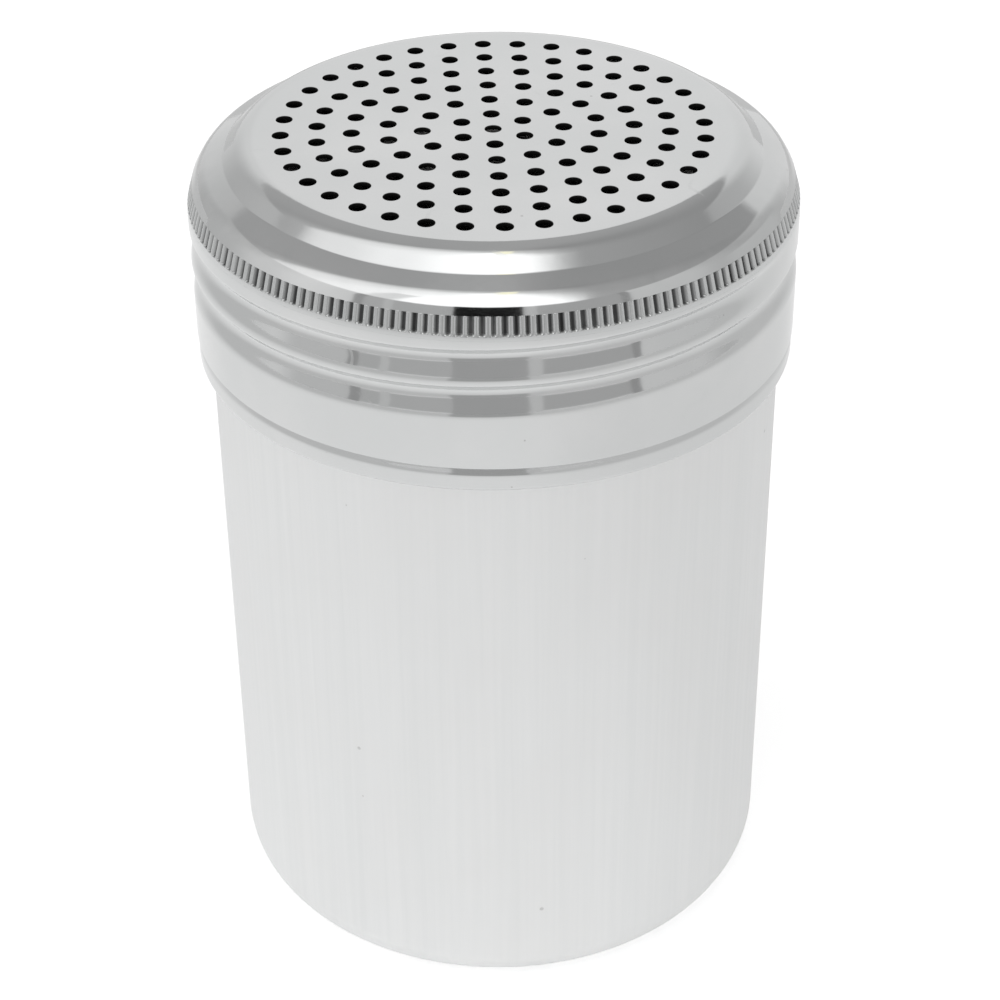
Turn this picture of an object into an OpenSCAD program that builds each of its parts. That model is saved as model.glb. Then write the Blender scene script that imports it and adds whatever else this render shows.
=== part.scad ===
// Screw-top shaker of drawn stainless sheet: a plain canister and a perforated lid.
// The origin is the centre of the base and +Z runs up the axis. All sizes are in millimetres.
// The lid is shown screwed down, with its underside on the canister's rolled rim.

/* [Canister] */
// Outer diameter of the canister
canister_d = 67; // [56:0.5:80]
// Height from the base to the top of the rolled rim
canister_h = 97.3; // [80:0.1:130]
// Sheet thickness of the canister
canister_wall = 0.5; // [0.4:0.05:0.7]
// Outer radius of the rounded corner at the base
base_corner_r = 5.8; // [3:0.1:9]
// Plain length of the neck, from the shoulder up to its thread
neck_plain = 0.6; // [0.5:0.1:1.5]
// How far the neck steps in from the canister's side
neck_inset = 0.8; // [0.5:0.05:1.2]
// Diameter of the rolled bead at the rim
rim_bead_d = 1.6; // [1.2:0.1:2]

/* [Lid] */
// Sheet thickness of the lid
lid_wall = 0.5; // [0.4:0.05:0.7]
// Height of the lid, from its top to the lower edge of its hem
lid_h = 26.1; // [25.5:0.1:29]
// Depth of the rolled thread groove in the lid's skirt
groove_depth = 0.8; // [0.5:0.05:1]
// Gap all round between the thread groove and the canister
thread_gap = 0.2; // [0.15:0.05:0.4]
// Gap between the rolled rim and the underside of the lid
seat_gap = 0.1; // [0.05:0.05:0.3]

/* [Crown] */
// Distance from the skirt in to the corner of the top plate
plate_inset = 6.6; // [6:0.1:8]
// Distance from the skirt in to the foot of the step below the plate
step_inset = 4.4; // [4:0.1:5]
// Height of the step below the plate
step_h = 2.05; // [1.6:0.05:2.4]
// Distance from the skirt in to the outer corner of the ledge
ledge_inset = 1.6; // [1.4:0.1:2]
// Downward slope of the ledge, in degrees
ledge_slope = 26.5; // [22:0.5:29]
// Distance from the skirt in to the lower edge of the bevel, at the top of the knurled band
bevel_inset = 0.7; // [0.65:0.05:0.9]

/* [Perforation] */
// Diameter of one hole
hole_d = 1.85; // [1:0.05:2.4]
// Distance from one ring of holes to the next
hole_pitch = 4; // [3.5:0.1:6]
// Least flat margin outside the centres of the last ring
hole_margin = 2.5; // [2:0.1:4]
// Angle of the first hole in every ring, from +X towards +Y
hole_phase = 32.5; // [0:0.5:60]

/* [Knurl] */
// Distance from the top of the lid down to the knurled band
knurl_drop = 4.95; // [4.8:0.05:5.1]
// Height of the knurled band
knurl_h = 2; // [1.5:0.1:2.1]
// Distance from one tooth to the next, round the band
knurl_pitch = 1.19; // [0.9:0.01:1.6]
// Distance from the skirt in to the crests of the teeth
knurl_inset = 0.4; // [0.2:0.05:0.45]
// Depth of the grooves between the teeth
knurl_depth = 0.25; // [0.1:0.05:0.3]

/* [Thread] */
// Rise of the right-hand thread in one turn
thread_pitch = 4.4; // [4:0.1:4.8]
// Length of the thread, in turns
thread_turns = 1.75; // [1.25:0.05:1.8]
// Share of each turn's rise taken by the long flank under the groove
flank_share = 0.72; // [0.7:0.01:0.8]
// Distance from the foot of the knurled band down to the upper end of the groove
band_h = 1.75; // [1.7:0.05:2.2]
// Azimuth of the upper end of the groove, from +X towards +Y
thread_end = -20; // [-180:5:180]
// Height of the thread ridge on the canister's neck
ridge_h = 0.75; // [0.4:0.05:0.75]

/* [Hem] */
// Distance from the lower edge up to the waist groove
waist_up = 2.5; // [2.2:0.1:2.8]
// Depth of the waist groove above the hem
waist_depth = 0.55; // [0.2:0.05:0.6]
// How far the hem stays inside the skirt's outside
hem_inset = 0.1; // [0:0.05:0.3]
// Radius of the hem's rounded edges
hem_edge_r = 0.35; // [0.2:0.05:0.45]

/* [Hidden] */

// Colours of the satin canister and the polished lid
canister_colour = [0.80, 0.81, 0.81];
lid_colour = [0.74, 0.75, 0.76];
// Sides of a full circle, and the turn between two points of a large and of a small rounding
round_sides = 96;
arc_step = 7.5;
small_step = 20;
small_r = 1;
// Sides round a formed thread wall, and the height of one row of its facets
formed_sides = 48;
formed_row = 0.63;
// How deep a formed wall is buried in the plain walls above and below it
bury = 0.2;
skin = 0.02;
// Overlap that lets a cutter run past what it cuts
past = 1;

// Radii of the canister
canister_r = canister_d / 2;
neck_r = canister_r - neck_inset;
bead_r = rim_bead_d / 2;
bead_mid = [neck_r - bead_r, canister_h - bead_r];
curl_end = 0.6;

// The lid's skirt clears the canister by the gap, the groove and its own sheet
lid_r = canister_r + thread_gap + groove_depth + lid_wall;
plate_r = lid_r - plate_inset;
step_r = lid_r - step_inset;
ledge_r = lid_r - ledge_inset;
bevel_r = lid_r - bevel_inset;

// The ledge's underside rests over the middle of the rolled bead
bead_to_ledge = (bead_r + seat_gap + lid_wall) / cos(ledge_slope);
top_z = bead_mid.y + bead_to_ledge + step_h + (bead_mid.x - step_r) * tan(ledge_slope);
ledge_drop = step_h + (ledge_r - step_r) * tan(ledge_slope);
edge_z = top_z - lid_h;
knurl_top = top_z - knurl_drop;
knurl_foot = knurl_top - knurl_h;

// Above the plain band the sheet turns in, and the teeth end on that slope
band_top = knurl_foot - 0.6 * knurl_inset;

// Rounding of the crown's corners
plate_corner_r = 3.6;
step_corner_r = 0.8;
ledge_corner_r = 3.4;
flat_r = plate_r - plate_corner_r * tan(atan2(step_h, step_r - plate_r) / 2);
hole_rings = floor((flat_r - hole_margin) / hole_pitch);

// The groove in the skirt, which fades in and out over run_out degrees at its ends
thread_top = knurl_foot - band_h;
thread_sweep = 360 * thread_turns;
run_out = 35;
formed_top = band_top - bury;
formed_foot = thread_top - (thread_turns + flank_share) * thread_pitch;

// The ridge on the neck runs along the crest between two turns of the groove
ridge_half = 0.32 * thread_pitch;
ridge_top = thread_top - flank_share * thread_pitch + ridge_half;
ridge_foot = formed_foot - ridge_half;
shoulder_z = ridge_foot - neck_plain - neck_inset;

function unit(v) = v / norm(v);
function turned(v, a) = [v.x * cos(a) - v.y * sin(a), v.x * sin(a) + v.y * cos(a)];
function left_of(a, b) = let (d = unit(b - a)) [-d.y, d.x];

// Points of the arc of radius r that rounds the corner b between a and c
function rounded(a, b, c, r) =
    let (u = unit(a - b), v = unit(c - b))
    let (half = acos(u * v) / 2, turn = 180 - 2 * half)
    let (middle = b + unit(u + v) * r / sin(half))
    let (start = b + u * r / tan(half) - middle)
    let (way = cross([u.x, u.y, 0], [v.x, v.y, 0]).z > 0 ? -1 : 1)
    let (steps = max(2, ceil(turn / (r < small_r ? small_step : arc_step))))
    [for (i = [0:steps]) middle + turned(start, way * turn * i / steps)];

// Outline through corners [r, z, rounding]; the first and the last stay sharp
function outline(corners) =
    let (last = len(corners) - 1, at = [for (c = corners) [c.x, c.y]])
    [for (i = [0:last])
        each i == 0 || i == last || corners[i].z <= 0 ? [at[i]]
            : rounded(at[i - 1], at[i], at[i + 1], corners[i].z)];

// The same corners moved by the sheet's thickness to the left of the way they run
function inner_corners(corners, wall) =
    let (last = len(corners) - 1, at = [for (c = corners) [c.x, c.y]])
    [for (i = [0:last])
        let (before = left_of(at[max(i - 1, 0)], at[max(i, 1)]))
        let (after = left_of(at[min(i, last - 1)], at[min(i + 1, last)]))
        let (shift = (before + after) / (1 + before * after))
        let (way = cross([before.x, before.y, 0], [after.x, after.y, 0]).z)
        let (r = corners[i].z)
        [at[i].x + shift.x * wall, at[i].y + shift.y * wall,
            r <= 0 ? 0 : way > 0 ? max(r - wall, 0.1) : r + wall]];

// Drawn sheet of one thickness, turned about the axis, with its sheet left of the corners
module turned_sheet(corners, wall) {
    inner = outline(inner_corners(corners, wall));
    count = len(inner);
    rotate_extrude($fn = round_sides)
        polygon(concat(outline(corners), [for (i = [1:count]) inner[count - i]]));
}

// Ring whose section has rounded corners
module ring(r, z, width, height, edge_r) {
    mid = [r - width / 2, z + height / 2];
    corners = [
        [mid.x, z, 0],
        [r, z, edge_r],
        [r, z + height, edge_r],
        [r - width, z + height, edge_r],
        [r - width, z, edge_r],
        [mid.x, z, 0],
    ];
    rotate_extrude($fn = round_sides) polygon(outline(corners));
}

// 1 in the middle of the thread's sweep, and 0 past both its ends
function present(along) =
    let (from_end = min(along, thread_sweep - along))
    from_end <= 0 ? 0 : from_end >= run_out ? 1 : (1 - cos(180 * from_end / run_out)) / 2;

// Turns of the helix, counted down from its upper end, to a point at this azimuth and height
function turns_down(azimuth, z) =
    (thread_top - z) / thread_pitch + (azimuth - thread_end) / 360;

// Depth of the lid's groove there, from 0 on a crest to 1 in the groove's bottom
function groove(azimuth, z) =
    let (turns = turns_down(azimuth, z), whole = floor(turns), phase = turns - whole)
    let (on_long_flank = phase < flank_share)
    let (fall = on_long_flank ? phase / flank_share : (1 - phase) / (1 - flank_share))
    let (along = 360 * (whole + (on_long_flank ? 0 : 1)) - (azimuth - thread_end))
    present(along) * (1 + cos(180 * fall)) / 2;

// Height of the neck's ridge there, from 0 to 1; it lies between two turns of the groove
function ridge(azimuth, z) =
    let (turns = turns_down(azimuth, z) - flank_share, nearest = round(turns))
    let (off = abs(turns - nearest) * thread_pitch)
    let (along = 360 * nearest - (azimuth - thread_end))
    off >= ridge_half ? 0 : present(along) * (1 + cos(180 * off / ridge_half)) / 2;

// Closed wall with an outside of radius outer(azimuth, height) and an even thickness
module formed_wall(outer, wall, foot, top) {
    rows = ceil((top - foot) / formed_row);
    grid = [for (j = [0:rows]) for (i = [0:formed_sides - 1])
        let (a = 360 * i / formed_sides, z = foot + (top - foot) * j / rows)
        [a, z, outer(a, z) - skin]];
    chord = 1 / cos(180 / formed_sides);
    outside = [for (p = grid) [p.z * cos(p.x), p.z * sin(p.x), p.y]];
    inside = [for (p = grid) let (r = (p.z - wall + 2 * skin) * chord) [r * cos(p.x), r * sin(p.x), p.y]];
    n = len(grid);
    function at(i, j) = j * formed_sides + i % formed_sides;
    sides = [for (j = [0:rows - 1]) for (i = [0:formed_sides - 1])
        let (a = at(i, j), b = at(i + 1, j), c = at(i + 1, j + 1), d = at(i, j + 1))
        each [[a, d, c], [a, c, b], [n + a, n + c, n + d], [n + a, n + b, n + c]]];
    ends = [for (i = [0:formed_sides - 1])
        let (a = at(i, 0), b = at(i + 1, 0), c = at(i, rows), d = at(i + 1, rows))
        each [[a, b, n + b], [a, n + b, n + a], [c, n + c, n + d], [c, n + d, d]]];
    polyhedron(points = concat(outside, inside), faces = concat(sides, ends), convexity = 8);
}

// Canister: base and side, stepped neck with its thread ridge, and the rolled rim
module canister() {
    neck_outside = function (azimuth, z) neck_r + ridge_h * ridge(azimuth, z);
    color(canister_colour) {
        turned_sheet([
            [0, 0, 0],
            [canister_r, 0, base_corner_r],
            [canister_r, shoulder_z, 0.7],
            [neck_r, shoulder_z + neck_inset, 0.7],
            [neck_r, ridge_foot + bury, 0],
        ], canister_wall);
        formed_wall(neck_outside, canister_wall, ridge_foot, ridge_top);
        turned_sheet([
            [neck_r, ridge_top - bury, 0],
            [neck_r, canister_h, bead_r],
            [neck_r - rim_bead_d, canister_h, bead_r],
            [neck_r - rim_bead_d, bead_mid.y - curl_end, 0],
        ], canister_wall);
    }
}

// Rings of holes, six more in each ring than in the one inside it
module perforation() {
    for (ring = [0:hole_rings])
        for (i = [0:max(6 * ring, 1) - 1])
            rotate(hole_phase + 360 * i / max(6 * ring, 1))
                translate([ring * hole_pitch, 0, top_z - lid_wall - past])
                    cylinder(d = hole_d, h = lid_wall + 2 * past, $fn = 24);
}

// Band of straight teeth with pointed crests and grooves
module knurled_band() {
    crest_r = lid_r - knurl_inset;
    root_r = crest_r - knurl_depth;
    buried_r = bevel_r - 0.3 * lid_wall;
    teeth = round(2 * PI * crest_r / knurl_pitch);
    flanks = [for (i = [0:2 * teeth - 1])
        let (a = 180 * i / teeth, r = i % 2 == 0 ? crest_r : root_r)
        [r * cos(a), r * sin(a)]];
    translate([0, 0, knurl_foot])
        linear_extrude(knurl_h)
            difference() {
                polygon(flanks);
                circle(r = buried_r, $fn = round_sides);
            }
}

// Lid: crown with its plate, ledge and knurled band, the threaded skirt and the hem
module lid() {
    skirt_outside = function (azimuth, z) lid_r - groove_depth * groove(azimuth, z);
    waist_z = edge_z + waist_up;
    hem_r = lid_r - hem_inset;
    color(lid_colour) {
        difference() {
            turned_sheet([
                [lid_r, formed_top - bury, 0],
                [lid_r, band_top, 0.3],
                [bevel_r, band_top + bevel_inset, 0.3],
                [bevel_r, knurl_top, 0.4],
                [ledge_r, top_z - ledge_drop, ledge_corner_r],
                [step_r, top_z - step_h, step_corner_r],
                [plate_r, top_z, plate_corner_r],
                [0, top_z, 0],
            ], lid_wall);
            perforation();
        }
        knurled_band();
        formed_wall(skirt_outside, lid_wall, formed_foot, formed_top);
        turned_sheet([
            [hem_r, edge_z + hem_edge_r, 0],
            [hem_r, waist_z - waist_depth, 0.4],
            [lid_r - waist_depth, waist_z, 0.3],
            [lid_r, waist_z + 1.2 * waist_depth, 0.4],
            [lid_r, formed_foot + bury, 0],
        ], lid_wall);
        ring(hem_r, edge_z, 2 * lid_wall, waist_up - 1.3 * waist_depth, hem_edge_r);
    }
}

canister();
lid();
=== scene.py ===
"""Looks for a screw-top shaker of drawn stainless sheet: a satin cup and a polished lid with holes.

Lengths are in metres, in the CAD model's frame: the origin is the centre of the base, and +Z runs
up the axis. The photograph was taken from the -Y side.
"""

import math

import bmesh
import bpy
import numpy as np
from mathutils import Matrix, Vector
from mathutils.geometry import delaunay_2d_cdt


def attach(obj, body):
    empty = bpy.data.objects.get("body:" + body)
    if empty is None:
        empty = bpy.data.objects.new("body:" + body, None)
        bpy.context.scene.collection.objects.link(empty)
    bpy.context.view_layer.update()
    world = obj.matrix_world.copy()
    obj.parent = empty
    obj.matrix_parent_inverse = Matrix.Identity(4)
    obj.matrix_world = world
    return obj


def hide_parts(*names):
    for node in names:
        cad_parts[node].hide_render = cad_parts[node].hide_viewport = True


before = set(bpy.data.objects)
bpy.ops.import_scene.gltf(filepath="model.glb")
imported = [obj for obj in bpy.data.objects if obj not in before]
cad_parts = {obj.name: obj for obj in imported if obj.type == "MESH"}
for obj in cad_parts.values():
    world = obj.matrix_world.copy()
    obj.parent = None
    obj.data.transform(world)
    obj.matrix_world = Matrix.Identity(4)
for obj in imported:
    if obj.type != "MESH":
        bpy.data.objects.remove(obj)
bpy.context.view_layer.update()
scene = bpy.context.scene
mm = 0.001


# ---------------------------------------------------------------------------------------------
# The cup. Drawn from one disc of 0.5 mm stainless sheet: a rounded base, a straight side, a
# shoulder, and a neck with a rolled thread ridge and a curled rim. Its outside is satin finished.
# ---------------------------------------------------------------------------------------------
CUP_R = 33.5 * mm
CUP_TOP = 97.3 * mm
CUP_WALL = 0.5 * mm
BASE_CORNER = 5.8 * mm
NECK_R = 32.7 * mm
NECK_BEND = 0.7 * mm
RIM_BEAD = 1.6 * mm
RIM_HOOK = 1.4 * mm
PITCH = 4.4 * mm
LID_TOP = 100.763 * mm
THREAD_TOP = LID_TOP - 8.7 * mm
THREAD_TURNS = 1.75
THREAD_START = math.radians(-20)
LONG_FLANK = 0.72
RUN_OUT = math.radians(35)
RIDGE_HALF = 0.32 * PITCH
RIDGE_HEIGHT = 0.75 * mm
RIDGE_TOP = THREAD_TOP - LONG_FLANK * PITCH + RIDGE_HALF
RIDGE_FOOT = THREAD_TOP - (THREAD_TURNS + LONG_FLANK) * PITCH - RIDGE_HALF
RIDGE_CLEAR = 0.6 * mm
SHOULDER = RIDGE_FOOT - RIDGE_CLEAR - (CUP_R - NECK_R)
SIDE_STEP = 6 * mm
NECK_ROWS = 64
CUP_AROUND = 256


def rounded_path(corners, step=math.radians(6)):
    """A path in the (r, z) plane through corners (r, z, rounding). Each corner with a rounding is
    replaced by the circular arc of that radius that touches both of its sides, cut in equal turns
    of about one step."""
    corners = np.array(corners, dtype=float)
    spots = corners[:, :2]
    parts = [spots[:1]]
    for before, spot, after, radius in zip(spots, spots[1:], spots[2:], corners[1:-1, 2]):
        if radius <= 0:
            parts.append(spot[None])
            continue
        back = (before - spot) / np.linalg.norm(before - spot)
        on = (after - spot) / np.linalg.norm(after - spot)
        half = math.acos(np.clip(back @ on, -1, 1)) / 2
        bisector = (back + on) / np.linalg.norm(back + on)
        centre = spot + bisector * radius / math.sin(half)
        spoke = spot + back * radius / math.tan(half) - centre
        way = -1 if back[0] * on[1] - back[1] * on[0] > 0 else 1
        sweep = math.pi - 2 * half
        turn = way * sweep * np.linspace(0, 1, max(3, math.ceil(sweep / step)) + 1)
        x = spoke[0] * np.cos(turn) - spoke[1] * np.sin(turn)
        z = spoke[0] * np.sin(turn) + spoke[1] * np.cos(turn)
        parts.append(centre + np.stack([x, z], axis=1))
    parts.append(spots[-1:])
    path = np.concatenate(parts)
    moved = np.linalg.norm(np.diff(path, axis=0), axis=1) > 1e-8
    return path[np.concatenate([[True], moved])]


def even_path(path, longest):
    """The same path with points added along its straight runs, so that no step is longer than
    the given length."""
    parts = []
    for a, b in zip(path, path[1:]):
        count = max(1, math.ceil(np.linalg.norm(b - a) / longest))
        parts.append(a + (b - a) * np.arange(count)[:, None] / count)
    parts.append(path[-1:])
    return np.concatenate(parts)


def upright(r, heights):
    """A straight upright run of path points: the radius r at each of the heights."""
    return np.stack([np.full(len(heights), r), heights], axis=1)


def beside(path, distance):
    """The path moved sideways by a distance, to the left of the way it runs: each point moves
    along the mean of the normals of its two steps, lengthened so that both steps keep the gap."""
    steps = np.diff(path, axis=0)
    steps /= np.linalg.norm(steps, axis=1)[:, None]
    left = np.stack([-steps[:, 1], steps[:, 0]], axis=1)
    before = np.concatenate([left[:1], left])
    after = np.concatenate([left, left[-1:]])
    shift = (before + after) / (1 + np.sum(before * after, axis=1))[:, None]
    return path + distance * shift


def turned_points(path, around, change=None):
    """Points of a surface of revolution: row by row, the point at path position (r, z) and azimuth
    a is (r cos a, r sin a, z). change(a, r, z) gives the radius in place of r."""
    azimuth = np.arange(around) * 2 * math.pi / around
    a, r = np.meshgrid(azimuth, path[:, 0])
    z = np.repeat(path[:, 1:2], around, axis=1)
    if change is not None:
        r = change(a, r, z)
    return np.stack([r * np.cos(a), r * np.sin(a), z], axis=2)


def loop_faces(rows, around, closed_rows=False):
    """Quads between neighbouring rows of a grid whose rows are closed rings. With closed_rows the
    last row joins the first as well."""
    last = rows if closed_rows else rows - 1
    j, i = np.meshgrid(np.arange(last), np.arange(around), indexing="ij")
    k, n = (j + 1) % rows, (i + 1) % around
    corners = [j * around + i, j * around + n, k * around + n, k * around + i]
    return np.stack(corners, axis=2).reshape(-1, 4)


def solid_piece(name, points, faces, materials, node, finish=None):
    """A piece at the origin from points and faces, with its doubled points merged so that seams
    and poles close, and its edges of over 50 degrees kept sharp. It rides on the CAD node's body
    and stands for that node. finish is the number of each face's material."""
    mesh = bpy.data.meshes.new(name)
    mesh.from_pydata(np.asarray(points).reshape(-1, 3).tolist(), [], faces)
    for material in materials:
        mesh.materials.append(material)
    if finish is not None:
        mesh.polygons.foreach_set("material_index", np.asarray(finish, dtype=np.int32))
    bm = bmesh.new()
    bm.from_mesh(mesh)
    bmesh.ops.remove_doubles(bm, verts=bm.verts, dist=1e-7)
    bmesh.ops.dissolve_degenerate(bm, edges=bm.edges, dist=1e-8)
    bm.to_mesh(mesh)
    bm.free()
    mesh.shade_smooth()
    mesh.set_sharp_from_angle(angle=math.radians(50))
    piece = bpy.data.objects.new(name, mesh)
    scene.collection.objects.link(piece)
    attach(piece, node)
    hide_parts(node)
    return piece


def eased(t):
    """0 up to t = 0, 1 from t = 1, and between them half of one minus the cosine of pi t."""
    return (1 - np.cos(math.pi * np.clip(t, 0, 1))) / 2


def thread_presence(along):
    """1 in the middle of the thread, easing to 0 at both ends over the run-out angle."""
    sweep = 2 * math.pi * THREAD_TURNS
    return eased(np.minimum(along, sweep - along) / RUN_OUT)


def turns_down(a, z):
    """Turns of the right-hand helix counted down from its upper end to azimuth a and height z."""
    return (THREAD_TOP - z) / PITCH + (a - THREAD_START) / (2 * math.pi)


def neck_radius(a, r, z):
    """The path's radius, plus the thread ridge: a cosine hump across the helix that lies one long
    flank below the lid's groove."""
    turns = turns_down(a, z) - LONG_FLANK
    nearest = np.round(turns)
    off = np.abs(turns - nearest) * PITCH / RIDGE_HALF
    along = 2 * math.pi * nearest - (a - THREAD_START)
    hump = thread_presence(along) * (1 - eased(off))
    on_neck = (z > RIDGE_FOOT) & (z < RIDGE_TOP) & (r < CUP_R - 0.3 * mm)
    return r + np.where(on_neck, RIDGE_HEIGHT * hump, 0)


def calc(tree, operation, a, b=0.0):
    """A Math node; a and b are sockets or numbers."""
    node = tree.nodes.new("ShaderNodeMath")
    node.operation = operation
    for socket, value in zip(node.inputs, (a, b)):
        if isinstance(value, bpy.types.NodeSocket):
            tree.links.new(value, socket)
        else:
            socket.default_value = value
    return node.outputs[0]


def weighted(tree, base, *terms):
    """The base, a number or a socket, plus each term's socket times its weight."""
    total = base
    for socket, weight in terms:
        total = calc(tree, "ADD", total, calc(tree, "MULTIPLY", socket, weight))
    return total


def blended(tree, factor, a, b):
    """A colour Mix node; each of factor, a and b is a socket, a number or a colour."""
    node = tree.nodes.new("ShaderNodeMix")
    node.data_type = "RGBA"
    for key, value in (("Factor_Float", factor), ("A_Color", a), ("B_Color", b)):
        socket = next(s for s in node.inputs if s.identifier == key)
        if isinstance(value, bpy.types.NodeSocket):
            tree.links.new(value, socket)
        elif isinstance(value, (int, float)):
            socket.default_value = value
        else:
            socket.default_value = (*value, 1)
    return next(s for s in node.outputs if s.identifier == "Result_Color")


def spread(tree, value, low, high, start=0.0, end=1.0, kind="SMOOTHSTEP"):
    """A Map Range node: start up to low, end from high, and a smooth or straight rise between."""
    node = tree.nodes.new("ShaderNodeMapRange")
    node.interpolation_type = kind
    for label, number in zip(("From Min", "From Max", "To Min", "To Max"), (low, high, start, end)):
        node.inputs[label].default_value = number
    tree.links.new(value, node.inputs["Value"])
    return node.outputs["Result"]


def noise_mask(tree, vector, scale, low, high, detail=3.0):
    """A Noise texture on the vector, stretched so that low to high becomes 0 to 1."""
    noise = tree.nodes.new("ShaderNodeTexNoise")
    noise.inputs["Scale"].default_value = scale
    noise.inputs["Detail"].default_value = detail
    tree.links.new(vector, noise.inputs["Vector"])
    return spread(tree, noise.outputs["Fac"], low, high)


def new_group(name, inputs, outputs):
    """An empty shader node group with a Vector input, named number inputs with their values, and
    named number outputs."""
    tree = bpy.data.node_groups.new(name, "ShaderNodeTree")
    tree.interface.new_socket("Vector", in_out="INPUT", socket_type="NodeSocketVector")
    for label, value in inputs:
        socket = tree.interface.new_socket(label, in_out="INPUT", socket_type="NodeSocketFloat")
        socket.default_value = value
    for label in outputs:
        tree.interface.new_socket(label, in_out="OUTPUT", socket_type="NodeSocketFloat")
    return tree, tree.nodes.new("NodeGroupInput"), tree.nodes.new("NodeGroupOutput")


def drawn_grain():
    """Marks of drawing and brushing that run along the axis: noise that is fine across the sheet
    and long down it, over a broad mottle. Gives a streak mask and a height."""
    tree, given, out = new_group(
        "drawn_grain", [("Fineness", 1500.0), ("Length", 0.02)], ["Streaks", "Mottle", "Height"])
    across = tree.nodes.new("ShaderNodeCombineXYZ")
    across.inputs["X"].default_value = 1.0
    across.inputs["Y"].default_value = 1.0
    tree.links.new(given.outputs["Length"], across.inputs["Z"])
    squeezed = tree.nodes.new("ShaderNodeVectorMath")
    squeezed.operation = "MULTIPLY"
    tree.links.new(given.outputs["Vector"], squeezed.inputs[0])
    tree.links.new(across.outputs["Vector"], squeezed.inputs[1])
    fine = tree.nodes.new("ShaderNodeTexNoise")
    fine.inputs["Detail"].default_value = 4.0
    tree.links.new(squeezed.outputs["Vector"], fine.inputs["Vector"])
    tree.links.new(given.outputs["Fineness"], fine.inputs["Scale"])
    clear = spread(tree, fine.outputs["Fac"], 0.32, 0.68, kind="LINEAR")
    broad = noise_mask(tree, squeezed.outputs["Vector"], 170.0, 0.3, 0.7)
    mottle = noise_mask(tree, given.outputs["Vector"], 95.0, 0.25, 0.75, 5.0)
    tree.links.new(weighted(tree, 0.0, (clear, 0.5), (broad, 0.5)), out.inputs["Streaks"])
    tree.links.new(mottle, out.inputs["Mottle"])
    tree.links.new(weighted(tree, fine.outputs["Fac"], (mottle, 0.3)), out.inputs["Height"])
    return tree


def handling_marks():
    """Small pits and nicks: the middles of a few cells of a Voronoi pattern, chosen by each cell's
    own random colour, and hairline scratches, chosen from thin bands of a warped wave."""
    tree, given, out = new_group(
        "handling_marks", [("Pit scale", 260.0), ("Share", 0.06)], ["Pits", "Hairlines"])
    cells = tree.nodes.new("ShaderNodeTexVoronoi")
    tree.links.new(given.outputs["Vector"], cells.inputs["Vector"])
    tree.links.new(given.outputs["Pit scale"], cells.inputs["Scale"])
    apart = tree.nodes.new("ShaderNodeSeparateColor")
    tree.links.new(cells.outputs["Color"], apart.inputs["Color"])
    chosen = calc(tree, "LESS_THAN", apart.outputs["Red"], given.outputs["Share"])
    size = calc(tree, "MULTIPLY", apart.outputs["Green"], 0.13)
    inside = calc(tree, "LESS_THAN", cells.outputs["Distance"], size)
    tree.links.new(calc(tree, "MULTIPLY", chosen, inside), out.inputs["Pits"])
    wave = tree.nodes.new("ShaderNodeTexWave")
    wave.wave_type = "BANDS"
    wave.bands_direction = "DIAGONAL"
    wave.inputs["Scale"].default_value = 55.0
    wave.inputs["Distortion"].default_value = 26.0
    wave.inputs["Detail"].default_value = 2.0
    wave.inputs["Detail Scale"].default_value = 0.8
    tree.links.new(given.outputs["Vector"], wave.inputs["Vector"])
    thin = calc(tree, "GREATER_THAN", wave.outputs["Fac"], 0.992)
    rare = noise_mask(tree, given.outputs["Vector"], 120.0, 0.55, 0.7)
    tree.links.new(calc(tree, "MULTIPLY", thin, rare), out.inputs["Hairlines"])
    return tree


def rubbed_edge():
    """Where a height lies near a given edge height, broken up by noise: 1 at the edge, falling to
    0 one width away."""
    tree, given, out = new_group("rubbed_edge", [("Edge", 0.0), ("Width", 0.001)], ["Rub"])
    apart = tree.nodes.new("ShaderNodeSeparateXYZ")
    tree.links.new(given.outputs["Vector"], apart.inputs["Vector"])
    off = calc(tree, "SUBTRACT", apart.outputs["Z"], given.outputs["Edge"])
    widths = calc(tree, "DIVIDE", calc(tree, "ABSOLUTE", off), given.outputs["Width"])
    near = calc(tree, "MAXIMUM", calc(tree, "SUBTRACT", 1.0, widths), 0.0)
    broken = noise_mask(tree, given.outputs["Vector"], 420.0, 0.35, 0.65)
    tree.links.new(calc(tree, "MULTIPLY", near, broken), out.inputs["Rub"])
    return tree


def placed(tree, group, vector, **values):
    """A node group in a material, reading the vector, with its own values."""
    node = tree.nodes.new("ShaderNodeGroup")
    node.node_tree = group
    tree.links.new(vector, node.inputs["Vector"])
    for label, value in values.items():
        node.inputs[label.replace("_", " ")].default_value = value
    return node


def steel(name):
    """A new metal material: its tree, its Principled BSDF and the piece's Object coordinates."""
    material = bpy.data.materials.new(name)
    material.use_nodes = True
    tree = material.node_tree
    tree.nodes.clear()
    shader = tree.nodes.new("ShaderNodeBsdfPrincipled")
    shader.inputs["Metallic"].default_value = 1.0
    output = tree.nodes.new("ShaderNodeOutputMaterial")
    tree.links.new(shader.outputs["BSDF"], output.inputs["Surface"])
    place = tree.nodes.new("ShaderNodeTexCoord").outputs["Object"]
    return material, tree, shader, place


def finished(tree, shader, colour, rough, height, depth):
    """Links a colour and a roughness to the shader, and a height, through a Bump node that makes
    1 of it as deep as the given depth in metres."""
    tree.links.new(colour, shader.inputs["Base Color"])
    tree.links.new(rough, shader.inputs["Roughness"])
    bump = tree.nodes.new("ShaderNodeBump")
    bump.inputs["Strength"].default_value = 1.0
    bump.inputs["Distance"].default_value = depth
    tree.links.new(height, bump.inputs["Height"])
    tree.links.new(bump.outputs["Normal"], shader.inputs["Normal"])


GRAIN = drawn_grain()
MARKS = handling_marks()
RUB = rubbed_edge()
GRAIN_DEPTH = 0.006 * mm

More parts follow.
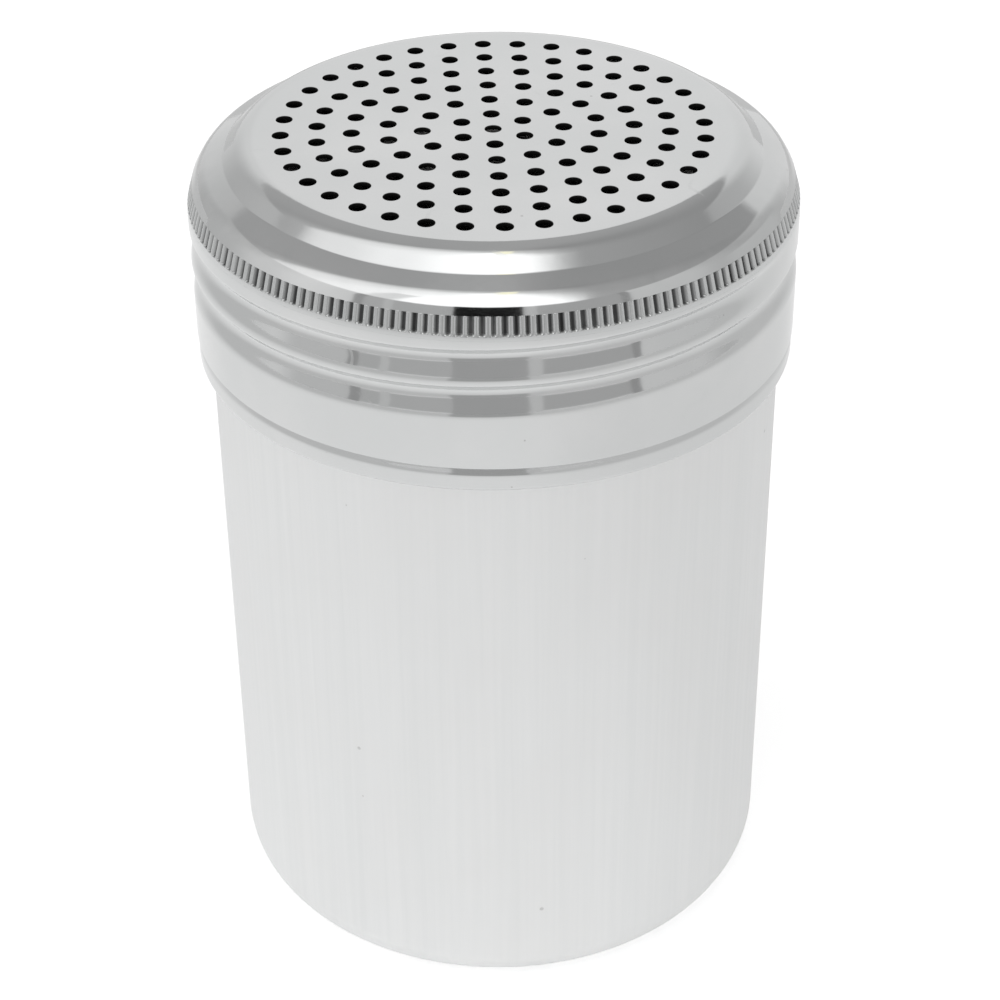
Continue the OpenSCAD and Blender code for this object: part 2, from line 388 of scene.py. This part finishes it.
satin_steel, tree, shader, place = steel("satin_steel")
grain = placed(tree, GRAIN, place, Fineness=1400.0, Length=0.018)
marks = placed(tree, MARKS, place, Pit_scale=420.0, Share=0.05)
base_rub = placed(tree, RUB, place, Edge=0.0, Width=0.0022)
streaks, mottle = grain.outputs["Streaks"], grain.outputs["Mottle"]
pits, rub = marks.outputs["Pits"], base_rub.outputs["Rub"]
tone = blended(tree, streaks, (0.80, 0.81, 0.81), (0.865, 0.87, 0.87))
tone = blended(tree, calc(tree, "MULTIPLY", mottle, 0.3), tone, (0.875, 0.87, 0.865))
tone = blended(tree, calc(tree, "MULTIPLY", pits, 0.35), tone, (0.32, 0.31, 0.30))
tone = blended(tree, calc(tree, "MULTIPLY", rub, 0.45), tone, (0.50, 0.50, 0.49))
rough = weighted(tree, 0.36, (streaks, 0.10), (mottle, 0.06), (rub, 0.15))
height = weighted(tree, grain.outputs["Height"], (pits, -2.0))
finished(tree, shader, tone, rough, height, GRAIN_DEPTH)

# The inside keeps the dull skin of the drawn sheet.
dull_steel, tree, shader, place = steel("dull_steel")
grain = placed(tree, GRAIN, place, Fineness=900.0, Length=0.03)
tone = blended(tree, grain.outputs["Mottle"], (0.36, 0.36, 0.355), (0.43, 0.43, 0.425))
rough = weighted(tree, 0.42, (grain.outputs["Streaks"], 0.12))
finished(tree, shader, tone, rough, grain.outputs["Height"], GRAIN_DEPTH)

outside = rounded_path([
    (0, 0, 0),
    (CUP_R, 0, BASE_CORNER),
    (CUP_R, SHOULDER, NECK_BEND),
    (NECK_R, SHOULDER + CUP_R - NECK_R, NECK_BEND),
    (NECK_R, CUP_TOP, RIM_BEAD / 2),
    (NECK_R - RIM_BEAD, CUP_TOP, RIM_BEAD / 2),
    (NECK_R - RIM_BEAD, CUP_TOP - RIM_HOOK, 0),
])
outside = np.concatenate([
    even_path(outside[outside[:, 1] < RIDGE_FOOT], SIDE_STEP),
    upright(NECK_R, np.linspace(RIDGE_FOOT, RIDGE_TOP, NECK_ROWS)),
    outside[outside[:, 1] > RIDGE_TOP],
])
inside = beside(outside, CUP_WALL)[::-1]
inside[-1, 0] = 0
cup_path = np.concatenate([outside, inside])
is_inside = np.arange(len(cup_path) - 1) >= len(outside)
cup = solid_piece(
    "cup", turned_points(cup_path, CUP_AROUND, neck_radius),
    loop_faces(len(cup_path), CUP_AROUND).tolist(), [satin_steel, dull_steel], "canister",
    np.repeat(is_inside, CUP_AROUND))


# ---------------------------------------------------------------------------------------------
# The lid's crown. Stamped from bright sheet: a flat plate with rings of pierced holes, a step, a
# sloping ledge and a bevel that ends in the knurled band. Each ring has six holes more than the
# ring inside it.
# ---------------------------------------------------------------------------------------------
LID_R = 35.0 * mm
LID_WALL = 0.5 * mm
PLATE_EDGE = 28.4 * mm
PLATE_ROUND = 3.4 * mm
STEP_R = 30.6 * mm
STEP_Z = LID_TOP - 2.05 * mm
STEP_ROUND = 0.8 * mm
LEDGE_R = 33.4 * mm
LEDGE_Z = LID_TOP - 3.36 * mm
LEDGE_ROUND = 3.1 * mm
BEVEL_R = 34.3 * mm
KNURL_TOP = LID_TOP - 4.95 * mm
KNURL_FOOT = LID_TOP - 6.95 * mm
CROWN_AROUND = 384
HOLE_R = 0.95 * mm
HOLE_TORN = 0.05 * mm
HOLE_ROUND = 0.06 * mm
HOLE_LIP = 0.14 * mm
HOLE_RIM = HOLE_R + 0.25 * mm
HOLE_SIDES = 28
RING_PITCH = 4.0 * mm
RINGS = 6
FIRST_HOLE = math.radians(32.5)
FLAT = 0.001 * mm
BRIGHT, DULL, PIERCED = 0, 1, 2

bright_steel, tree, shader, place = steel("bright_steel")
marks = placed(tree, MARKS, place, Pit_scale=700.0, Share=0.03)
pits, hairlines = marks.outputs["Pits"], marks.outputs["Hairlines"]
smudge = noise_mask(tree, place, 75.0, 0.35, 0.75, 4.0)
squashed = tree.nodes.new("ShaderNodeMapping")
squashed.inputs["Scale"].default_value = (1.0, 1.0, 1.6)
tree.links.new(place, squashed.inputs["Vector"])
polish = noise_mask(tree, squashed.outputs["Vector"], 900.0, 0.2, 0.8, 2.0)
top_rub = placed(tree, RUB, place, Edge=LID_TOP - 3.5 * mm, Width=1.2 * mm)
tone = blended(tree, smudge, (0.69, 0.70, 0.70), (0.73, 0.735, 0.735))
tone = blended(tree, calc(tree, "MULTIPLY", pits, 0.4), tone, (0.34, 0.33, 0.32))
tone = blended(tree, calc(tree, "MULTIPLY", top_rub.outputs["Rub"], 0.3), tone, (0.80, 0.80, 0.80))
rough = weighted(tree, 0.055, (smudge, 0.03), (polish, 0.012), (hairlines, 0.12))
height = weighted(tree, 0.0, (smudge, 0.8), (pits, -0.15), (hairlines, -0.06))
finished(tree, shader, tone, rough, height, 0.02 * mm)

# The walls of the holes are torn by the punch, and painted near black as painted shade in the
# holes.
hole_wall_shade, tree, shader, place = steel("hole_wall_shade")
shader.inputs["Base Color"].default_value = (0.035, 0.035, 0.034, 1)
shader.inputs["Roughness"].default_value = 0.6

crown_out = rounded_path([
    (PLATE_EDGE - 1.0 * mm, LID_TOP, 0),
    (PLATE_EDGE, LID_TOP, PLATE_ROUND),
    (STEP_R, STEP_Z, STEP_ROUND),
    (LEDGE_R, LEDGE_Z, LEDGE_ROUND),
    (BEVEL_R, KNURL_TOP - 0.01 * mm, 0),
], math.radians(3.5))
PLATE_R = crown_out[1, 0] - 0.25 * mm
crown_out[0, 0] = PLATE_R
crown_out = crown_out[::-1]
crown_in = beside(crown_out, LID_WALL)[::-1]
crown_in[0, 0] = PLATE_R
rim_points = turned_points(np.concatenate([crown_in, crown_out]), CROWN_AROUND)
rim_faces = loop_faces(len(rim_points), CROWN_AROUND)
rim_inside = np.arange(len(rim_points) - 1) < len(crown_in) - 1

# The holes, each from the plate's underside up its wall to the flat round its top.
ring_counts = [max(6 * k, 1) for k in range(RINGS + 1)]
ring_of = np.repeat(np.arange(RINGS + 1), ring_counts)
turn_of = np.concatenate([np.arange(count) / count for count in ring_counts])
hole_azimuth = FIRST_HOLE + 2 * math.pi * turn_of
hole_spokes = np.stack([np.cos(hole_azimuth), np.sin(hole_azimuth)], axis=1)
hole_at = RING_PITCH * ring_of[:, None] * hole_spokes
hole_path = rounded_path([
    (HOLE_RIM, LID_TOP - LID_WALL, 0),
    (HOLE_R, LID_TOP - LID_WALL, HOLE_TORN),
    (HOLE_R, LID_TOP, HOLE_ROUND),
    (HOLE_R + HOLE_LIP, LID_TOP, 0),
    (HOLE_RIM, LID_TOP, 0),
], math.radians(30))
one_hole = turned_points(hole_path, HOLE_SIDES)
hole_shift = np.concatenate([hole_at, np.zeros((len(hole_at), 1))], axis=1)
holes = one_hole[None] + hole_shift[:, None, None, :]
hole_quads = loop_faces(len(hole_path), HOLE_SIDES)[:, ::-1]
hole_finish = np.where(hole_path[1:, 1] > LID_TOP - FLAT, BRIGHT, PIERCED)

# The flat of the plate: triangles between its round edge and the holes' rims.
plate_rim = turned_points(crown_out[-1:], CROWN_AROUND)[0, :, :2]
hole_rims = holes[:, -1, :, :2].reshape(-1, 2)
flat = np.concatenate([plate_rim, hole_rims])
around, side = np.arange(CROWN_AROUND), np.arange(HOLE_SIDES)
plate_edges = np.stack([around, (around + 1) % CROWN_AROUND], axis=1)
one_edge_ring = np.stack([side, (side + 1) % HOLE_SIDES], axis=1)
hole_starts = CROWN_AROUND + HOLE_SIDES * np.arange(len(hole_at))
hole_edges = (one_edge_ring[None] + hole_starts[:, None, None]).reshape(-1, 2)
edges = np.concatenate([plate_edges, hole_edges])
found = delaunay_2d_cdt([Vector(p) for p in flat.tolist()], edges.tolist(), [], 0, 1e-9)
flat_points = np.array([tuple(p) for p in found[0]])
flat_tris = np.array(found[2])
middle = flat_points[flat_tris].mean(axis=1)
to_hole = np.linalg.norm(middle[:, None] - hole_at[None], axis=2).min(axis=1)
# A triangle in a hole has its middle inside the polygon of the rim, so within 0.99 of its radius.
flat_tris = flat_tris[to_hole >= hole_path[-1, 0] * 0.99]
corner = flat_points[flat_tris]
area = np.cross(corner[:, 1] - corner[:, 0], corner[:, 2] - corner[:, 0])
flat_tris[area < 0] = flat_tris[area < 0][:, ::-1]
top = np.column_stack([flat_points, np.full(len(flat_points), LID_TOP)])
bottom = np.column_stack([flat_points, np.full(len(flat_points), LID_TOP - LID_WALL)])

points = np.concatenate([rim_points.reshape(-1, 3), holes.reshape(-1, 3), top, bottom])
per_hole = len(hole_path) * HOLE_SIDES
start = rim_points.shape[0] * rim_points.shape[1]
start_top = start + per_hole * len(hole_at)
start_bottom = start_top + len(top)
hole_faces = hole_quads[None] + (start + per_hole * np.arange(len(hole_at)))[:, None, None]
faces = rim_faces.tolist() + hole_faces.reshape(-1, 4).tolist()
faces += (flat_tris + start_top).tolist() + (flat_tris[:, ::-1] + start_bottom).tolist()
finish = np.concatenate([
    np.repeat(np.where(rim_inside, DULL, BRIGHT), CROWN_AROUND),
    np.tile(np.repeat(hole_finish, HOLE_SIDES), len(hole_at)),
    np.full(len(flat_tris), BRIGHT), np.full(len(flat_tris), DULL)])
crown = solid_piece(
    "lid_crown", points, faces, [bright_steel, dull_steel, hole_wall_shade], "lid", finish)


# ---------------------------------------------------------------------------------------------
# The knurled band. Rolled into the same sheet as the crown, for a grip: straight teeth that lean
# in to the bevel, with blunt crests and grooves painted near black as painted shade. They fade out
# at both edges.
# ---------------------------------------------------------------------------------------------
TEETH = 183
TOOTH_DEPTH = 0.34 * mm
TOOTH_STEPS = 10
TOOTH_FADE = 0.08 * mm
GROOVE_WIDTH = np.random.default_rng(11).uniform(-0.2, 0.12, TEETH)
BAND_FOOT = KNURL_FOOT - 0.62 * mm
BAND_STEP = 0.1 * mm
BAND_LAP = 0.02 * mm
BAND_IN = 33.9 * mm
LEAN_FOOT = KNURL_FOOT - 1.25 * mm
LEAN_R = 8.0 * mm


def groove_wave(a):
    """1 in the middle of a groove and 0 on a crest, with steep flanks; the grooves differ a little
    in width."""
    turn = a * TEETH / (2 * math.pi)
    nearest = np.round(turn)
    widening = GROOVE_WIDTH[nearest.astype(int) % TEETH]
    return eased(1.22 + widening - 3 * np.abs(turn - nearest))


def knurl_groove(a, z):
    """Depth of the groove between two teeth, from 0 to 1: the wave round the band, which eases to
    nothing at the band's two edges."""
    from_top = (KNURL_TOP + 0.06 * mm - z) / TOOTH_FADE
    from_foot = (z - KNURL_FOOT + 0.05 * mm) / TOOTH_FADE
    return groove_wave(a) * eased(np.minimum(from_top, from_foot))


def knurl_radius(a, r, z):
    """On the outside of the band, the path's radius less the groove between the teeth."""
    return r - np.where(r > BEVEL_R - 0.25 * mm, TOOTH_DEPTH * knurl_groove(a, z), 0)


def band_lean(z):
    """How far the plain band leans in below the knurl: the height above its foot, squared, over
    twice the radius of its curve."""
    return np.clip(np.minimum(z, KNURL_FOOT) - LEAN_FOOT, 0, None) ** 2 / (2 * LEAN_R)


knurl_steel, tree, shader, place = steel("knurl_steel")
# The grooves between the teeth are painted near black, weighted by the "sunk" attribute: painted
# shade in the recesses.
sunk = tree.nodes.new("ShaderNodeAttribute")
sunk.attribute_name = "sunk"
smudge = noise_mask(tree, place, 160.0, 0.3, 0.7, 4.0)
groove_shade = calc(tree, "MULTIPLY", sunk.outputs["Fac"], weighted(tree, 0.86, (smudge, 0.12)))
tone = blended(tree, groove_shade, (0.70, 0.71, 0.71), (0.02, 0.02, 0.02))
finished(tree, shader, tone, weighted(tree, 0.10, (groove_shade, 0.4)), smudge, 0.008 * mm)

band_foot = even_path(np.array([(LID_R, BAND_FOOT), (LID_R, KNURL_FOOT)]), BAND_STEP)
band_foot[:, 0] -= band_lean(band_foot[:, 1])
teeth_out = rounded_path([
    (*band_foot[-1], 0),
    (BEVEL_R + BAND_LAP, KNURL_TOP - BAND_LAP, 0.06 * mm),
    (BEVEL_R - 0.2 * mm, KNURL_TOP + BAND_LAP, 0),
], math.radians(20))
band_path = np.concatenate([
    [(LID_R - 0.25 * mm, BAND_FOOT - BAND_LAP)],
    band_foot[:-1],
    even_path(teeth_out, BAND_STEP),
    [(BAND_IN, KNURL_TOP + BAND_LAP), (BAND_IN, KNURL_FOOT - 0.1 * mm),
     (BAND_IN + 0.5 * mm, BAND_FOOT - BAND_LAP)],
])
band_around = TEETH * TOOTH_STEPS
band = solid_piece(
    "lid_knurl", turned_points(band_path, band_around, knurl_radius),
    loop_faces(len(band_path), band_around, True).tolist(), [knurl_steel], "lid")
# How deep each point of the teeth lies in a groove, stored for the painted shade of the grooves.
places = np.empty(len(band.data.vertices) * 3)
band.data.vertices.foreach_get("co", places)
x, y, z = places.reshape(-1, 3).T
on_teeth = (z > KNURL_FOOT - 0.045 * mm) & (np.hypot(x, y) > BAND_IN + BAND_LAP)
groove_shade_weight = np.where(on_teeth, groove_wave(np.arctan2(y, x)) ** 1.5, 0)
attribute = band.data.attributes.new("sunk", "FLOAT", "POINT")
attribute.data.foreach_set("value", groove_shade_weight.astype(np.float32))


# ---------------------------------------------------------------------------------------------
# The lid's skirt. The same sheet below the band: a thread groove is rolled into it, and a waist
# groove sets off the rolled hem at the open edge.
# ---------------------------------------------------------------------------------------------
GROOVE_DEPTH = 0.8 * mm
GROOVE_FOOT = LID_TOP - 20.5 * mm
HEM_FOOT = LID_TOP - 26.1 * mm
HEM_R = LID_R - 0.1 * mm
HEM_THICK = 1.0 * mm
WAIST = HEM_FOOT + 2.78 * mm
WAIST_DEPTH = 0.36 * mm
WAIST_IN = LID_R - LID_WALL - WAIST_DEPTH
SKIRT_TOP = BAND_FOOT + 0.3 * mm
SKIRT_TUCK = LID_R - 0.12 * mm
SKIRT_STEP = 0.5 * mm
SKIRT_ROWS = 96
INNER_ROWS = 60
SKIRT_AROUND = 360


def skirt_radius(a, r, z):
    """The path's radius less the thread groove and the band's lean. Down each turn of the groove a
    long eased flank comes out from its bottom to the crest, and a short one goes in to the next
    bottom. Only the outside leans."""
    turns = turns_down(a, z)
    whole = np.floor(turns)
    phase = turns - whole
    on_long = phase < LONG_FLANK
    fall = np.where(on_long, phase / LONG_FLANK, (1 - phase) / (1 - LONG_FLANK))
    along = 2 * math.pi * (whole + np.where(on_long, 0, 1)) - (a - THREAD_START)
    depth = GROOVE_DEPTH * thread_presence(along) * (1 - eased(fall))
    below_band = eased((BAND_FOOT - z) / (0.5 * mm))
    groove = np.where(z > GROOVE_FOOT, depth * below_band, 0)
    return r - groove - np.where(r > LID_R - 0.2 * mm, band_lean(z), 0)


skirt_foot = rounded_path([
    (HEM_R - HEM_THICK, HEM_FOOT + 1.1 * mm, 0),
    (HEM_R - HEM_THICK, HEM_FOOT, 0.35 * mm),
    (HEM_R, HEM_FOOT, 0.45 * mm),
    (HEM_R, WAIST - 0.85 * mm, 1.6 * mm),
    (LID_R - WAIST_DEPTH, WAIST, 0.05 * mm),
    (LID_R, WAIST + 0.14 * mm, 0.12 * mm),
    (LID_R, BAND_FOOT, 0),
], math.radians(9))[:-1]
thread_rows = np.linspace(skirt_foot[-1, 1], BAND_FOOT - 0.005 * mm, SKIRT_ROWS)[1:]
skirt_out = np.concatenate([
    even_path(skirt_foot, SKIRT_STEP),
    upright(LID_R, thread_rows),
    [(SKIRT_TUCK, BAND_FOOT + 0.01 * mm), (SKIRT_TUCK, SKIRT_TOP)],
])
skirt_path = np.concatenate([
    skirt_out,
    upright(LID_R - LID_WALL, np.linspace(SKIRT_TOP, WAIST + 1.0 * mm, INNER_ROWS)),
    [(WAIST_IN, WAIST + 0.1 * mm), (WAIST_IN, WAIST - 0.5 * mm)],
])
is_inside = np.arange(len(skirt_path)) >= len(skirt_out)
skirt = solid_piece(
    "lid_skirt", turned_points(skirt_path, SKIRT_AROUND, skirt_radius),
    loop_faces(len(skirt_path), SKIRT_AROUND, True).tolist(), [bright_steel, dull_steel], "lid",
    np.repeat(is_inside, SKIRT_AROUND))


# ---------------------------------------------------------------------------------------------
# The studio: a plain white floor, and a white light tent with a grey opening in front, where the
# camera stands. The tent is the world, so it lights and mirrors without noise.
# ---------------------------------------------------------------------------------------------
FLOOR_HALF = 3
STRIP_ASIDE = -0.053
STRIP_HALF = 0.22
STRIP_FADE = 0.04
STRIP_NEAR = 0.34
STRIP_FAR = 0.50
GLOW_SEEN = 0.5
GLOW_MIRRORED = 0.30
GLOW_NEAR = 0.08
GLOW_FAR = 0.55
GLOW_RIGHT = 0.66
floor_mesh = bpy.data.meshes.new("floor")
floor_mesh.from_pydata([
    (-FLOOR_HALF, -FLOOR_HALF, 0), (FLOOR_HALF, -FLOOR_HALF, 0),
    (FLOOR_HALF, FLOOR_HALF, 0), (-FLOOR_HALF, FLOOR_HALF, 0)], [], [(0, 1, 2, 3)])
floor = bpy.data.objects.new("floor", floor_mesh)
scene.collection.objects.link(floor)

floor_white = bpy.data.materials.new("floor_white")
floor_white.use_nodes = True
tree = floor_white.node_tree
tree.nodes.clear()
place = tree.nodes.new("ShaderNodeTexCoord").outputs["Object"]
ray = tree.nodes.new("ShaderNodeLightPath")
spot = tree.nodes.new("ShaderNodeSeparateXYZ")
tree.links.new(place, spot.inputs["Vector"])

# Under the camera, in a strip that widens away from the object, the paper mirrors darker in the
# lid, as in the photograph. The camera itself sees one plain white, also from behind.
in_front = calc(tree, "MULTIPLY", spot.outputs["Y"], -1.0)
aside = calc(tree, "DIVIDE", spot.outputs["X"], calc(tree, "MAXIMUM", in_front, 0.001))
off_strip = calc(tree, "ABSOLUTE", calc(tree, "SUBTRACT", aside, STRIP_ASIDE))
strip = spread(tree, off_strip, STRIP_HALF, STRIP_HALF + STRIP_FADE, 1.0, 0.0)
strip = calc(tree, "MULTIPLY", strip, spread(tree, in_front, STRIP_NEAR, STRIP_FAR))
not_seen = calc(tree, "SUBTRACT", 1.0, ray.outputs["Is Camera Ray"])
darker = calc(tree, "MULTIPLY", strip, not_seen)
paper = tree.nodes.new("ShaderNodeBsdfDiffuse")
white = blended(tree, darker, (0.88, 0.88, 0.88), (0.60, 0.60, 0.60))
tree.links.new(white, paper.inputs["Color"])

# A glow that only the camera and the mirroring steel see. The steel's part fades away from the
# object, and it is weaker on the right.
away = tree.nodes.new("ShaderNodeVectorMath")
away.operation = "LENGTH"
tree.links.new(place, away.inputs[0])
near = spread(tree, away.outputs["Value"], GLOW_NEAR, GLOW_FAR, GLOW_MIRRORED, 0.0)
near = calc(tree, "MULTIPLY", near, spread(tree, spot.outputs["X"], 0.0, 0.12, 1.0, GLOW_RIGHT))
mirrored = calc(tree, "MULTIPLY", ray.outputs["Is Glossy Ray"], near)
glow = tree.nodes.new("ShaderNodeEmission")
glow.inputs["Color"].default_value = (1, 1, 1, 1)
strength = weighted(tree, mirrored, (ray.outputs["Is Camera Ray"], GLOW_SEEN))
tree.links.new(strength, glow.inputs["Strength"])
both = tree.nodes.new("ShaderNodeAddShader")
tree.links.new(paper.outputs["BSDF"], both.inputs[0])
tree.links.new(glow.outputs["Emission"], both.inputs[1])
output = tree.nodes.new("ShaderNodeOutputMaterial")
tree.links.new(both.outputs["Shader"], output.inputs["Surface"])
floor_mesh.materials.append(floor_white)

tent = bpy.data.worlds.new("tent")
scene.world = tent
tent.use_nodes = True
tree = tent.node_tree
tree.nodes.clear()
way = tree.nodes.new("ShaderNodeSeparateXYZ")
tree.links.new(tree.nodes.new("ShaderNodeTexCoord").outputs["Generated"], way.inputs["Vector"])
DEGREES = 180 / math.pi
WALLS_TO = 31.5
CEILING_FROM = 34.5
front = calc(tree, "MULTIPLY", way.outputs["Y"], -1.0)
# Azimuth from the camera's side, positive towards +X, and elevation, both in degrees.
azimuth = calc(tree, "MULTIPLY", calc(tree, "ARCTAN2", way.outputs["X"], front), DEGREES)
elevation = calc(tree, "MULTIPLY", calc(tree, "ARCSINE", way.outputs["Z"]), DEGREES)
# Where the light's way meets a level ceiling one unit up.
rise = calc(tree, "MAXIMUM", way.outputs["Z"], 0.001)
ceiling_x = calc(tree, "DIVIDE", way.outputs["X"], rise)
ceiling_front = calc(tree, "DIVIDE", front, rise)


def between(value, low, high, soft):
    """1 while the value lies between low and high, easing to 0 over the soft width outside."""
    below = spread(tree, value, low - soft, low)
    above = spread(tree, value, high, high + soft, 1.0, 0.0)
    return calc(tree, "MULTIPLY", below, above)


def patch(base, grey, across, upward, soft):
    """The base colour with a soft-edged patch of grey over a range of azimuth and elevation."""
    sideways = between(azimuth, *across, soft[0])
    mask = calc(tree, "MULTIPLY", sideways, between(elevation, *upward, soft[1]))
    return blended(tree, mask, base, (grey, grey, grey))


def ring_of_light(stops):
    """A grey for each azimuth, easing between stops of (azimuth, grey)."""
    ramp = tree.nodes.new("ShaderNodeValToRGB")
    ramp.color_ramp.interpolation = "EASE"
    marks = ramp.color_ramp.elements
    while len(marks) < len(stops):
        marks.new(0.5)
    for mark, (at, grey) in zip(marks, stops):
        mark.position = (at + 180) / 360
        mark.color = (grey, grey, grey, 1)
    turned = calc(tree, "DIVIDE", calc(tree, "ADD", azimuth, 180.0), 360.0)
    tree.links.new(turned, ramp.inputs["Fac"])
    return ramp.outputs["Color"]


def beyond(direction, edge, soft):
    """0 before a straight edge on the ceiling and 1 past it, easing over the soft width. The edge
    is square to the direction (an azimuth) and lies that far from the zenith along it."""
    aim = math.radians(direction)
    along = weighted(tree, 0.0, (ceiling_x, math.sin(aim)), (ceiling_front, math.cos(aim)))
    return spread(tree, along, edge, edge + soft)


# Low down, white walls with a grey gap for the camera, with seams and stands in the gap.
walls = ring_of_light([
    (-180, 0.88), (-165, 0.80), (-135, 0.53), (-112, 0.58), (-92, 0.74), (-75, 0.84), (-54, 0.76),
    (52, 0.68), (75, 0.66), (92, 0.54), (108, 0.48), (125, 0.53), (150, 0.80), (180, 0.88)])
for grey, across, upward, soft in (
    (0.60, (-74, -54), (-90, 8), (14, 6)),
    (0.60, (98, 120), (-90, 12), (10, 6)),
    (0.50, (-53, 0), (2.5, 90), (0.6, 3)),
    (0.45, (0, 50.5), (2.5, 90), (0.6, 3)),
    (0.36, (-53.5, -50), (-90, 90), (0.6, 3)),
    (0.34, (48, 51), (-90, 90), (0.6, 3)),
    (0.60, (-41.5, -39), (-90, 90), (0.8, 3)),
    (0.60, (11, 15), (-90, 90), (0.8, 3)),
    (0.42, (-15.5, 9.7), (-90, 26), (0.6, 2)),
):
    walls = patch(walls, grey, across, upward, soft)

# Higher up, a wide lamp at the front left, whose two soft edges meet near the zenith, and a dim
# ceiling at the right and behind.
ceiling = ring_of_light([
    (-180, 0.45), (-150, 0.44), (-125, 0.42), (-95, 0.55), (-60, 0.62), (35, 0.50), (60, 0.43),
    (120, 0.36), (180, 0.45)])
lamp = ring_of_light([
    (-180, 0.75), (-108, 0.82), (-88, 1.02), (-62, 1.20), (-28, 1.45), (25, 1.45), (60, 1.0),
    (180, 0.8)])
lamp = patch(lamp, 0.92, (-50, -42), (30, 56), (5, 5))
lit = calc(tree, "MULTIPLY", beyond(-60, -0.28, 0.36), beyond(-5, -0.20, 0.16))
ceiling = blended(tree, lit, ceiling, lamp)
sky = blended(tree, spread(tree, elevation, WALLS_TO, CEILING_FROM), walls, ceiling)

# The dark top of the camera's stand, and a small warm lamp near the zenith.
sky = patch(sky, 0.01, (-15.5, 9.7), (23, 33.0), (0.6, 0.8))
small_x = between(ceiling_x, 0.015, 0.06, 0.012)
small_lamp = calc(tree, "MULTIPLY", small_x, between(ceiling_front, -0.05, 0.10, 0.03))
sky = blended(tree, small_lamp, sky, (1.30, 1.26, 0.95))

# The camera itself sees plain white where it looks past the floor.
backdrop = tree.nodes.new("ShaderNodeBackground")
tree.links.new(sky, backdrop.inputs["Color"])
plain = tree.nodes.new("ShaderNodeBackground")
plain.inputs["Color"].default_value = (1, 1, 1, 1)
ray = tree.nodes.new("ShaderNodeLightPath")
choice = tree.nodes.new("ShaderNodeMixShader")
tree.links.new(ray.outputs["Is Camera Ray"], choice.inputs["Fac"])
tree.links.new(backdrop.outputs["Background"], choice.inputs[1])
tree.links.new(plain.outputs["Background"], choice.inputs[2])
output = tree.nodes.new("ShaderNodeOutputWorld")
tree.links.new(choice.outputs["Shader"], output.inputs["Surface"])

scene.view_settings.view_transform = "Standard"


# ---------------------------------------------------------------------------------------------
# The camera, where the photograph's was: its place, tilt and lens come from fitting the rings of
# holes and the object's outline.
# ---------------------------------------------------------------------------------------------
lens = bpy.data.cameras.new("camera")
lens.lens = 88.94
lens.sensor_width = 36.0
camera = bpy.data.objects.new("camera", lens)
scene.collection.objects.link(camera)
pitch, yaw, roll = (math.radians(v) for v in (33.63, 0.28, -0.58))
forward = Vector((
    math.sin(yaw) * math.cos(pitch), math.cos(yaw) * math.cos(pitch), -math.sin(pitch)))
right = Vector((math.cos(yaw), -math.sin(yaw), 0))
upward = right.cross(forward)
right_rolled = math.cos(roll) * right + math.sin(roll) * upward
up_rolled = -math.sin(roll) * right + math.cos(roll) * upward
stand = Matrix((right_rolled, up_rolled, -forward)).transposed().to_4x4()
stand.translation = Vector((-0.00089, -0.25561, 0.22042))
camera.matrix_world = stand
scene.camera = camera
